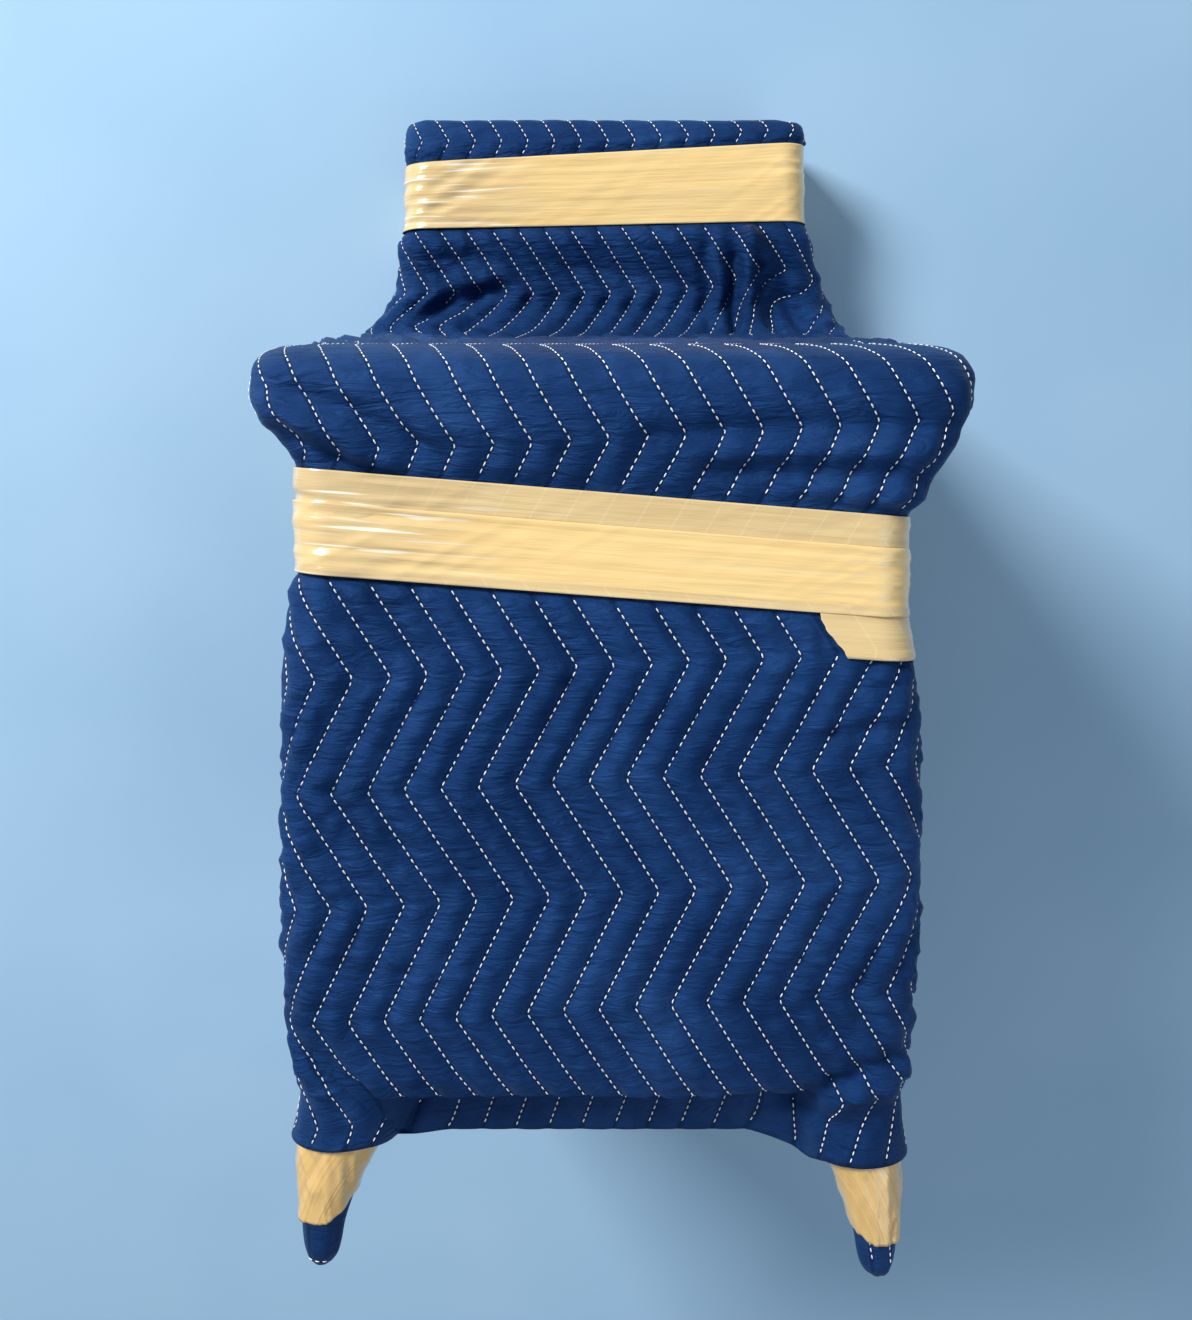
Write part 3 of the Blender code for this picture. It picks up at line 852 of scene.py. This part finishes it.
def band_arrays(start, finish, lift, shape, seed, columns=None, wrinkle=0.0008):
    """A strip between two distances along the cover, with wrinkles that run along the strip."""
    rows, count = shape
    wrap = columns is None
    if wrap:
        columns = np.linspace(0, COLUMNS, count, endpoint=False)[None, :]
    share = np.linspace(0, 1, rows)[:, None] + 0 * columns
    columns = columns + 0 * share
    level = np.append(around[ROWS // 2], around[ROWS // 2, 0])
    girth_here = np.interp(columns, np.arange(COLUMNS + 1), level)
    v = start + (finish - start) * share
    row = np.interp(v, row_length, np.arange(ROWS))
    base = sample(smooth, row, columns)
    normal = unit(sample(smooth_normal, row, columns))
    long_wave = 1 - 3 * np.abs(soft_noise(girth_here / 0.12 + seed, v / 0.0085, seed + 40))
    long_wave += 0.6 * soft_noise(girth_here / 0.05 + seed, v / 0.0040, seed + 41)
    fan = girth_here * 0.5 + v          # a second set of wrinkles runs slightly uphill
    long_wave += 0.8 - 2 * np.abs(soft_noise(fan / 0.012 + 3, girth_here / 0.09, seed + 42))
    bite = 0.45 + 1.7 * np.exp(-((girth_here + 0.20) / 0.08) ** 2)
    bite += 0.7 * np.exp(-((girth_here - 0.22) / 0.05) ** 2)
    down = limited(-normal[..., 2] * 2)
    rise = lift + wrinkle * bite * (0.5 + 0.5 * long_wave) * (1 - down)
    points = base + normal * rise[..., None]
    points[..., 2] = np.maximum(points[..., 2], FLOOR - FILM)
    maps = {"tape": np.stack([girth_here, v], axis=2),
            "pattern": sample(pattern_grid, row, columns)}
    return film_arrays(points, points - normal * FILM, wrap, maps)


def film_arrays(front, back, wrap, maps):
    """A closed film: a front and a back grid with a strip between their borders."""
    rows, count = front.shape[:2]
    quads = quad_faces(rows, count, 0, wrap)
    total = rows * count
    sides = [quads, quads[:, ::-1] + total]

    def border(ring, turn, closed):
        nxt = np.roll(ring, -1) if closed else ring[1:]
        ring = ring if closed else ring[:-1]
        strip = np.stack([ring, nxt, nxt + total, ring + total], axis=1)
        return strip[:, ::turn]

    index = np.arange(total).reshape(rows, count)
    sides.append(border(index[0], 1, wrap))
    sides.append(border(index[-1], -1, wrap))
    if not wrap:
        sides.append(border(index[:, 0], -1, False))
        sides.append(border(index[:, -1], 1, False))
    faces = triangles(np.concatenate(sides))
    points = np.concatenate([front, back]).reshape(-1, 3)
    doubled = {name: np.tile(values.reshape(-1, 2), (2, 1)) for name, values in maps.items()}
    return points, faces, doubled


BAND_SHAPE = (42, 380)
FIRST_LIFT = 0.0012         # of the tape over the smooth cover, layer by layer
FREE_END_LIFT = 0.0024
SECOND_LIFT = 0.0028
FREE_END_OVERLAP = 0.010    # the free end starts this far under the second layer


def full_band(start, finish, lift, seed):
    """A band all the way round between two of the named sections."""
    return band_arrays(ROW_OF[start], ROW_OF[finish], lift, BAND_SHAPE, seed)


tape_back = make_mesh("tape_backrest",
                      *full_band("back tape top", "back tape foot", FIRST_LIFT, 2))
tape_first = make_mesh("tape_waist_under",
                       *full_band("waist tape top", "first foot", FIRST_LIFT, 5))
second_band = full_band("second top", "waist foot", SECOND_LIFT, 6)
print("tape band:", len(second_band[1]), "triangles")

# %% The torn free end
foot_row = int(np.interp(ROW_OF["waist foot"], row_length, np.arange(ROWS)))
end_start = float(np.interp(TORN_FROM, smooth[foot_row, :60, 0], np.arange(60)))
side_end = HALF["front"] + HALF["corner"] + HALF["side"] * 0.55
share = np.linspace(0, 1, 70)
torn = np.linspace(0, 1, 18)[:, None]
torn_edge = end_start + 6.2 * torn ** 1.3 + 0.35 * np.sin(9 * torn) + 0.16 * np.sin(31 * torn)
free_columns = torn_edge + (side_end - torn_edge) * share[None, :] ** 1.15
free_end = band_arrays(ROW_OF["waist foot"] - FREE_END_OVERLAP, ROW_OF["free end foot"],
                       FREE_END_LIFT, free_columns.shape, 9, free_columns, wrinkle=0.0004)
points, faces, maps = join_arrays([second_band, free_end])
tape_second = make_mesh("tape_waist_over", points, faces, maps)
print("free end:", len(free_end[1]), "triangles")

# %% Tape on the legs
LEG_TAPE_SHAPE = (40, 90)
LEG_TAPE_TOP = -0.511


def leg_tape_arrays(side, drop, seed):
    """Tape over a sleeve: slanting wrinkles that fan out from the narrow end."""
    rows, count = LEG_TAPE_SHAPE
    angle = np.linspace(0, 2 * np.pi, count, endpoint=False)[None, :]
    share = np.linspace(0, 1, rows)[:, None]
    inward = limited(np.cos(angle - np.pi)) ** 2
    foot = -0.590 + 0.020 * inward if side < 0 else -0.600 + 0.010 * inward
    y = LEG_TAPE_TOP + (foot - LEG_TAPE_TOP) * share
    angle = angle + 0 * share
    slant = share * 3.5 + 5.0 * np.cos(angle)     # creases fan down from the inner side
    wave = 1 - 3 * np.abs(soft_noise(slant + seed, np.sin(angle) * 1.3 + share * 2.0, seed))
    wave += 0.7 * soft_noise(slant * 2.1 + seed, np.sin(angle) * 2.1 + share * 7, seed + 1)
    lift = 0.0006 + 0.0022 * limited(0.5 + 0.4 * wave) * limited(share * 8)
    points = leg_point(side, drop, y, angle, lift)
    back = leg_point(side, drop, y, angle, lift - FILM)
    points[..., 2] = np.maximum(points[..., 2], FLOOR - FILM)
    back[..., 2] = np.maximum(back[..., 2], FLOOR)
    if side > 0:
        points, back = points[:, ::-1], back[:, ::-1]
        angle = angle[:, ::-1]
    streak = (y + 1) * 0.5 + 0.040 * np.cos(angle)
    tape = np.stack([angle * 0.02 + share * 0.05, streak], axis=2)
    return film_arrays(points, back, True, {"tape": tape, "pattern": tape * 0})


leg_tapes = {}
for seed, (name, (side, drop)) in enumerate(LEGS.items()):
    leg_tapes[name] = make_mesh("tape_on_" + name, *leg_tape_arrays(side, drop, 60 + 3 * seed))
print(len(leg_tapes), "leg tapes")
made = [item for item in bpy.data.objects if item.type == "MESH"]
made = sorted(len(item.data.polygons) for item in made)
print("most triangles:", made[-3:], "all:", sum(made))

# %% [markdown]
# ## Materials
# Each finish is a small node tree.  Numbers that are the same all over sit on the shader's own
# sockets; nodes only make what varies over the surface.

# %% Node helpers
def new_material(name, **sockets):
    """A Principled material, its sockets set by name with _ for a space."""
    material = bpy.data.materials.new(name)
    material.use_nodes = True
    shader = material.node_tree.nodes["Principled BSDF"]
    for socket, value in sockets.items():
        shader.inputs[socket.replace("_", " ")].default_value = value
    return material, material.node_tree, shader


def add(tree, kind, links=None, **settings):
    """A node with its settings, and inputs given as numbers or as other nodes' outputs."""
    node = tree.nodes.new(kind)
    for key, value in settings.items():
        setattr(node, key, value)
    for key, value in (links or {}).items():
        if isinstance(value, bpy.types.NodeSocket):
            tree.links.new(value, node.inputs[key])
        else:
            node.inputs[key].default_value = value
    return node


def maths(tree, operation, *values):
    """One Math node."""
    return add(tree, "ShaderNodeMath", dict(enumerate(values)), operation=operation).outputs[0]


def ramp(tree, factor, stops):
    """A colour ramp from (place, colour) stops."""
    node = add(tree, "ShaderNodeValToRGB", {0: factor})
    elements = node.color_ramp.elements
    while len(elements) < len(stops):
        elements.new(0.5)
    for element, (place, colour) in zip(elements, stops):
        element.position = place
        element.color = colour
    return node.outputs[0]


def ranged(tree, value, low, high, to_low=0.0, to_high=1.0):
    """A value mapped from low..high to another range, and held at its ends."""
    return add(tree, "ShaderNodeMapRange",
               {0: value, 1: low, 2: high, 3: to_low, 4: to_high}).outputs[0]


def blend(tree, share, colour, other):
    """A colour with a share of another mixed in."""
    return add(tree, "ShaderNodeMix", {0: share, 6: colour, 7: other},
               data_type="RGBA").outputs[2]


def noise(tree, vector, **settings):
    """The value of a noise with its inputs by name."""
    return add(tree, "ShaderNodeTexNoise", {"Vector": vector, **settings}).outputs[0]


def scaled(tree, vector, across, along, turn=0.0):
    """Coordinates scaled differently in their two directions."""
    return add(tree, "ShaderNodeMapping", {"Vector": vector, "Scale": (across, along, 1.0),
                                           "Rotation": (0.0, 0.0, turn)}).outputs[0]


def stitch_wave(tree, pattern):
    """A cosine that is 1 on every line of stitches."""
    channel_at = add(tree, "ShaderNodeSeparateXYZ", {0: pattern}).outputs[0]
    return maths(tree, "COSINE", maths(tree, "MULTIPLY", channel_at, 2 * math.pi))


BUMP_DEPTH = 0.0012


def bumped(tree, shader, height, strength, *sockets):
    """A bump on the shader's normals, put into the named sockets."""
    bump = add(tree, "ShaderNodeBump", {"Height": height, "Strength": strength,
                                        "Distance": BUMP_DEPTH})
    for socket in sockets:
        tree.links.new(bump.outputs[0], shader.inputs[socket])


def mottled(name, scale, stops, **sockets):
    """A plain finish whose colour wanders between its stops."""
    material, tree, shader = new_material(name, **sockets)
    place = add(tree, "ShaderNodeTexCoord").outputs["Object"]
    colour = ramp(tree, noise(tree, place, Scale=scale, Detail=2.0), stops)
    tree.links.new(colour, shader.inputs["Base Color"])
    return material


# %% Navy quilted cloth
THREAD_PITCH = 0.0009


def navy_cloth():
    """Mottled navy with a fine weave, painted shade in the stitch grooves, and a soft sheen."""
    material, tree, shader = new_material(
        "navy_quilt", Roughness=0.48, Sheen_Weight=0.05, Sheen_Roughness=0.40,
        Sheen_Tint=(0.15, 0.40, 1.0, 1.0), Specular_IOR_Level=0.32,
        Specular_Tint=(0.10, 0.34, 1.0, 1.0))
    place = add(tree, "ShaderNodeTexCoord").outputs["Object"]
    pattern = add(tree, "ShaderNodeUVMap", uv_map="pattern").outputs[0]
    weave_at = add(tree, "ShaderNodeUVMap", uv_map="cloth").outputs[0]
    broad = noise(tree, place, Scale=9.0, Detail=3.0)
    fine = noise(tree, place, Scale=70.0, Detail=4.0)
    mixed = maths(tree, "ADD", maths(tree, "MULTIPLY", broad, 0.65),
                  maths(tree, "MULTIPLY", fine, 0.35))
    colour = ramp(tree, mixed, [(0.30, (0.0030, 0.016, 0.066, 1)),
                                (0.50, (0.0070, 0.031, 0.116, 1)),
                                (0.72, (0.0150, 0.055, 0.180, 1))])
    # painted shade: the colour is darkened along every stitch line, where the grooves lie in shade;
    # the same groove mask also sinks the bump
    groove = ranged(tree, stitch_wave(tree, pattern), 0.80, 1.0)
    painted_groove_shade = blend(tree, maths(tree, "MULTIPLY", groove, 0.55), colour, (0.0015, 0.006, 0.028, 1))
    tree.links.new(painted_groove_shade, shader.inputs["Base Color"])
    split_weave = add(tree, "ShaderNodeSeparateXYZ", {0: weave_at})
    warp, weft = (maths(tree, "SINE", maths(tree, "MULTIPLY", way, 2 * math.pi / THREAD_PITCH))
                  for way in split_weave.outputs[:2])
    creases = noise(tree, scaled(tree, weave_at, 30.0, 125.0, 0.10), Scale=1.0, Detail=3.5,
                    Roughness=0.60, Distortion=0.9)
    height = maths(tree, "MULTIPLY", maths(tree, "MULTIPLY", warp, weft), 0.25)
    for value, share in ((fine, 1.6), (groove, -1.6), (creases, 13.0)):
        height = maths(tree, "ADD", height, maths(tree, "MULTIPLY", value, share))
    bumped(tree, shader, height, 0.45, "Normal")
    return material


navy = navy_cloth()
print("cloth finish:", len(navy.node_tree.nodes), "nodes")

# %% White thread
thread = mottled("white_thread", 160.0, [(0.35, (0.70, 0.74, 0.80, 1)),
                                         (0.60, (0.92, 0.93, 0.94, 1))],
                 Roughness=0.55, Sheen_Weight=0.2)

# %% Tan film
DOUBLE_TAN = [(0.25, (0.85, 0.585, 0.245, 1)), (0.50, (0.91, 0.655, 0.285, 1)),
              (0.75, (0.94, 0.70, 0.33, 1))]
SINGLE_TAN = [(0.25, (0.66, 0.475, 0.225, 1)), (0.50, (0.73, 0.545, 0.270, 1)),
              (0.75, (0.78, 0.60, 0.31, 1))]
LEG_TAN = [(0.20, (0.60, 0.38, 0.13, 1)), (0.50, (0.71, 0.47, 0.18, 1)),
           (0.80, (0.80, 0.57, 0.26, 1))]


def tan_film(name, tan, single_from=None):
    """Glossy tan film in one of the tans.  Where one layer lies on navy the stitch lines show
    through it; single_from is where a doubled band turns single.  At the left it is darker and
    has pale streaks, a painted highlight of the gloss."""
    material, tree, shader = new_material(
        name, Roughness=0.22, Coat_Weight=0.8, Coat_Roughness=0.06, Specular_IOR_Level=0.5)
    tape_at = add(tree, "ShaderNodeUVMap", uv_map="tape").outputs[0]
    pattern = add(tree, "ShaderNodeUVMap", uv_map="pattern").outputs[0]
    round_it, down = add(tree, "ShaderNodeSeparateXYZ", {0: tape_at}).outputs[:2]
    streak = noise(tree, scaled(tree, tape_at, 6.0, 160.0), Scale=1.0, Detail=3.0)
    colour = ramp(tree, streak, tan)
    if tan is SINGLE_TAN or single_from is not None:
        line = ranged(tree, stitch_wave(tree, pattern), 0.965, 1.0, 0.0, 0.25)
        single = blend(tree, line, ramp(tree, streak, SINGLE_TAN), (0.86, 0.72, 0.48, 1))
        if single_from is None:
            colour = single
        else:
            turned = ranged(tree, down, single_from, single_from + 0.0012)
            colour = blend(tree, turned, colour, single)
    left = ranged(tree, round_it, -0.06, -0.17)
    colour = blend(tree, maths(tree, "MULTIPLY", left, 0.55), colour, (0.60, 0.45, 0.24, 1))
    # painted highlight: at the left the colour turns nearly white in thin lengthwise streaks,
    # standing in for glints off the glossy film
    highlight_streaks = noise(tree, scaled(tree, tape_at, 9.0, 240.0), Scale=1.0, Detail=1.5,
                   Distortion=0.4)
    white = maths(tree, "MULTIPLY", ranged(tree, highlight_streaks, 0.60, 0.68, 0.0, 0.95), left)
    colour = blend(tree, white, colour, (1.0, 0.94, 0.82, 1))
    tree.links.new(colour, shader.inputs["Base Color"])
    grain = noise(tree, scaled(tree, tape_at, 16.0, 330.0), Scale=1.0, Detail=4.0)
    bumped(tree, shader, grain, 0.5, "Normal", "Coat Normal")
    return material


film_double = tan_film("tan_film_double", DOUBLE_TAN)
film_single = tan_film("tan_film_single", SINGLE_TAN)
film_leg = tan_film("tan_film_leg", LEG_TAN)
film_second = tan_film("tan_film_second", DOUBLE_TAN, ROW_OF["first foot"])
blanket.data.materials.append(navy)
for piece in stitch_pieces:
    piece.data.materials.append(thread)
tape_back.data.materials.append(film_double)
tape_first.data.materials.append(film_single)
tape_second.data.materials.append(film_second)
for piece in leg_tapes.values():
    piece.data.materials.append(film_leg)
print("materials:", len(bpy.data.materials))

# %% [markdown]
# ## Attaching the pieces to the frame
# Everything rides on the one body.  The blanket stands for its solid, which is hidden.

# %% Pieces and the frame
blanket_and_tapes = {
    blanket: "blanket", tape_back: "tape_back", tape_first: "tape_waist_first",
    tape_second: "tape_waist_second",
}
for name, piece in leg_tapes.items():
    blanket_and_tapes[piece] = "tape_leg_" + name
for piece, node in blanket_and_tapes.items():
    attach(piece, "root")
    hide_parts(node)
for piece in stitch_pieces:
    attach(piece, "root")

# %% [markdown]
# ## Floor, light and camera
# A pale blue floor, one large soft light from the upper left and a weak fill.  The camera is 1.4 m
# above the floor and looks down on the stool's front, leaning slightly towards the feet.

# %% Floor
FLOOR_SHEET = 6.0           # half its width
corners = [(x, y, FLOOR - 0.001) for x, y in ((-1, -1), (1, -1), (1, 1), (-1, 1))]
corners = np.array(corners) * (FLOOR_SHEET, FLOOR_SHEET, 1.0)
floor = make_mesh("studio_floor", corners, np.array([[0, 1, 2], [0, 2, 3]]))
floor.data.materials.append(mottled(
    "pale_floor", 3.0, [(0.3, (0.29, 0.48, 0.68, 1)), (0.7, (0.33, 0.52, 0.72, 1))],
    Roughness=0.85))

# %% Lights
def area_light(name, place, target, size, power, colour=(1, 1, 1)):
    """A square light aimed at a point."""
    data = bpy.data.lights.new(name, "AREA")
    data.size, data.energy, data.color = size, power, colour
    light = bpy.data.objects.new(name, data)
    light.location = place
    way = Vector(target) - Vector(place)
    light.rotation_euler = way.to_track_quat("-Z", "Y").to_euler()
    bpy.context.scene.collection.objects.link(light)


area_light("key", (-2.3, 2.1, FLOOR + 2.5), (0, 0, FLOOR + 0.4), 1.3, 202.0, (1.0, 0.98, 0.95))
area_light("fill", (1.6, -1.2, FLOOR + 2.4), (0, 0, FLOOR + 0.3), 1.8, 18.0, (0.88, 0.94, 1.0))
world = bpy.data.worlds.new("studio")
bpy.context.scene.world = world
world.use_nodes = True
world.node_tree.nodes["Background"].inputs[0].default_value = (0.85, 0.92, 1.0, 1)
world.node_tree.nodes["Background"].inputs[1].default_value = 0.30

# %% Camera
CAMERA_HEIGHT = 1.415       # above the floor
CAMERA_LEAN = -8.77         # degrees, towards the feet
camera_data = bpy.data.cameras.new("camera")
camera_data.lens = 32.7
camera_data.sensor_width = 36.0
camera = bpy.data.objects.new("camera", camera_data)
camera.location = (0.0, 0.0, FLOOR + CAMERA_HEIGHT)
camera.rotation_euler = (math.radians(CAMERA_LEAN), 0.0, 0.0)
bpy.context.scene.collection.objects.link(camera)
bpy.context.scene.camera = camera
bpy.context.scene.view_settings.view_transform = "Standard"
